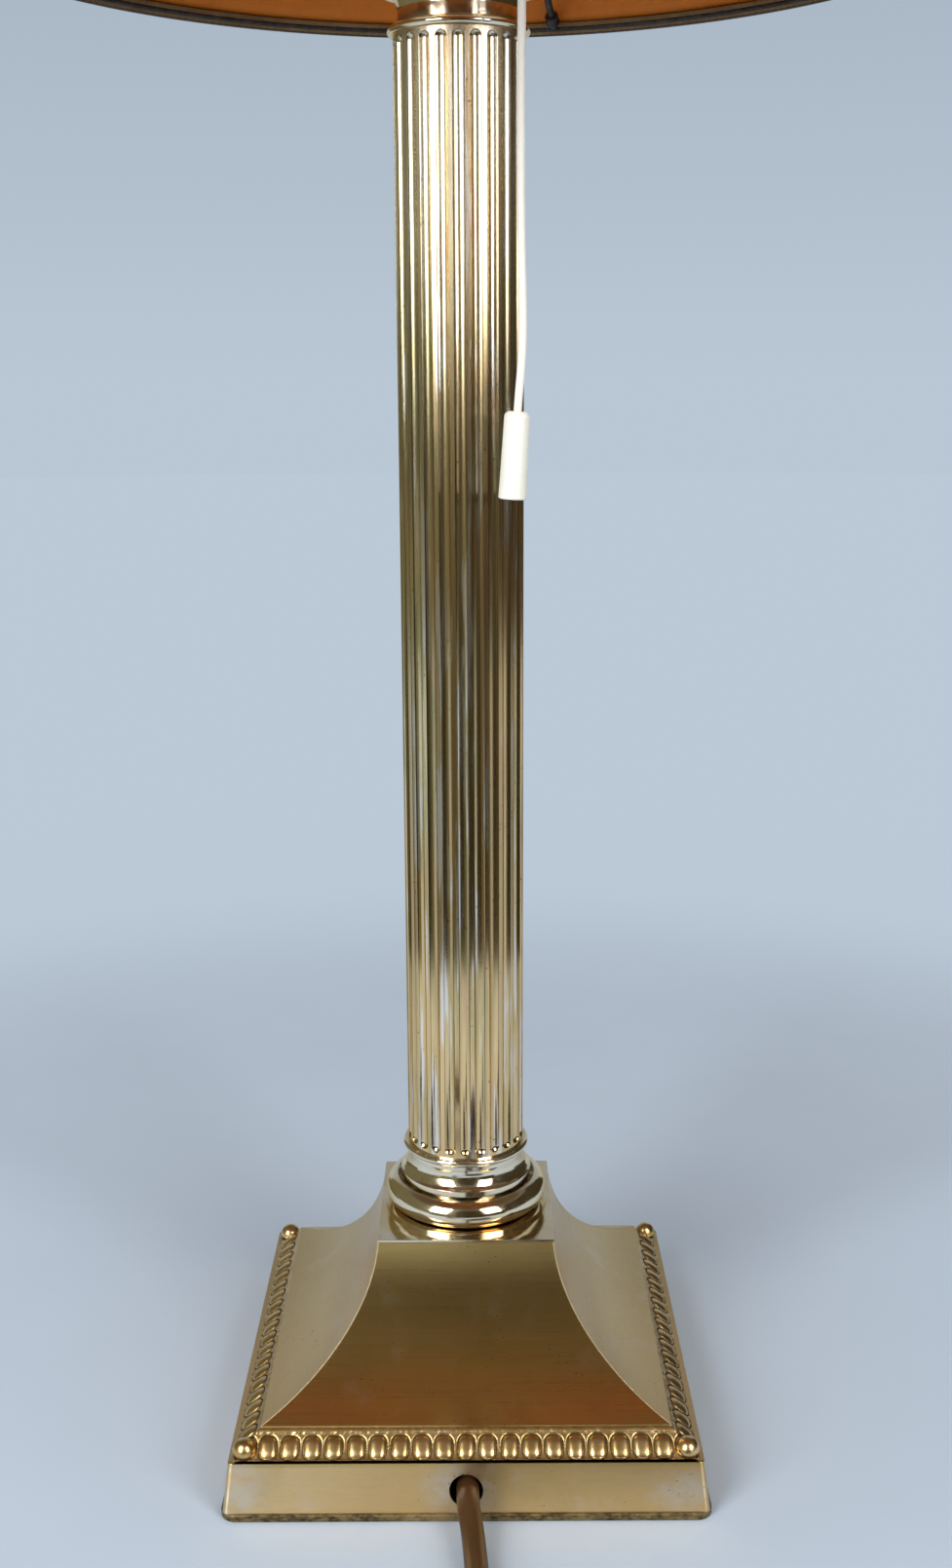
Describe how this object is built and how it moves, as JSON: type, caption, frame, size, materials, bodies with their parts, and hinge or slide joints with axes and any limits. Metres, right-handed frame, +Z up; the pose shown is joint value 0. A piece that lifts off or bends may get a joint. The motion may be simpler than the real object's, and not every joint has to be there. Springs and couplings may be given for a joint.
{
  "type": "column table lamp",
  "caption": "Table lamp with a fluted column on a concave square foot with a beaded edge, a pull-cord lampholder, a tapered drum shade and a mains cord with a plug.",
  "frame": {"origin": "middle of the foot's underside, on the table", "axes": "+Z up along the column, -Y the side where the cord leaves"},
  "size_m": [0.3142, 0.4178, 0.674],
  "materials": {
    "felt": "felted",
    "tray_bronze": "dark worn bronze",
    "brushed_brass": "satin, brushed, worn",
    "bead_brass": "polished, darkened in the hollows",
    "polished_silver": "silver plated, polished",
    "worn_silver": "silver plated, worn and tarnished",
    "cast_iron": "as cast, blackened",
    "steel": "zinc plated",
    "dark_wire": "dark lacquer",
    "contact_brass": "bare",
    "bakelite": "moulded phenolic",
    "ceramic": "glazed ceramic",
    "opal_glass": "opal",
    "shade_cover": "laminated cloth",
    "shade_lining": "satin copper-coloured foil",
    "shade_trim": "ribbed binding",
    "pull_cord": "braided",
    "pull_knob": "moulded",
    "cord_brown": "smooth",
    "core_live": "smooth",
    "core_neutral": "smooth",
    "core_earth": "smooth",
    "nylon": "moulded",
    "plug_brown": "moulded",
    "plug_metal": "nickel plated"
  },
  "bodies": {
    "lamp": {"felt_pad": "felt", "base_tray": "tray_bronze", "tray_screws": "steel", "ballast": "cast_iron", "ballast_screws": "steel", "cord_anchor": "nylon", "plinth": "brushed_brass", "bead_border": "bead_brass", "pyramid": "brushed_brass", "top_plate": "polished_silver", "clamp_washer": "steel", "bottom_nut": "steel", "tie_tube": "steel", "column_base": "polished_silver", "fluted_column": "worn_silver", "capital": "polished_silver", "abacus": "polished_silver", "holder_cup": "polished_silver", "locknut": "contact_brass", "holder_cap": "contact_brass", "holder_shell": "contact_brass", "switch_body": "bakelite", "switch_rotor": "nylon", "pivot_pin": "steel", "terminal_block": "ceramic", "terminal_screws": "contact_brass", "centre_contact": "contact_brass", "threaded_skirt": "bakelite", "screw_shell": "contact_brass", "bulb_cap": "contact_brass", "bulb_glass": "opal_glass", "shade_nut": "bakelite", "cord_sheath": "cord_brown", "live_core": "core_live", "neutral_core": "core_neutral", "earth_core": "core_earth", "mains_cord": "cord_brown", "cord_coil": "cord_brown", "coil_strap": "nylon", "plug_lead": "cord_brown", "plug_boot": "plug_brown", "plug_body": "plug_brown", "plug_pins": "plug_metal", "plug_earth": "plug_metal"},
    "shade": {"fitter_ring": "dark_wire", "shade_arms": "dark_wire", "arm_ferrules": "dark_wire", "bottom_wire": "dark_wire", "top_wire": "dark_wire", "bottom_trim": "shade_trim", "top_trim": "shade_trim", "shade_cover": "shade_cover", "shade_lining": "shade_lining"},
    "pull": {"pull_cord": "pull_cord", "cord_knots": "pull_cord", "pull_knob": "pull_knob"},
    "lever": {"switch_lever": "contact_brass"}
  },
  "joints": [
    {"name": "pull_slide", "type": "slide", "parent": "lamp", "child": "pull", "axis": [0, 0, -1], "range_m": [0, 0.005], "stiffness_N_per_m": 400, "springref_m": -0.003},
    {"name": "lever_hinge", "type": "hinge", "parent": "lamp", "child": "lever", "pos_m": [0.00384, -0.00702, 0.5108], "axis": [0.8774, 0.4798, 0], "range_deg": [0, 10.1]},
    {"name": "shade_swivel", "type": "hinge", "parent": "lamp", "child": "shade", "pos_m": [0, 0, 0.5386], "axis": [0, 0, 1], "continuous": true}
  ],
  "couplings": [
    {"joint": "lever_hinge", "follows": "pull_slide", "rad_per_m": 35.03}
  ]
}
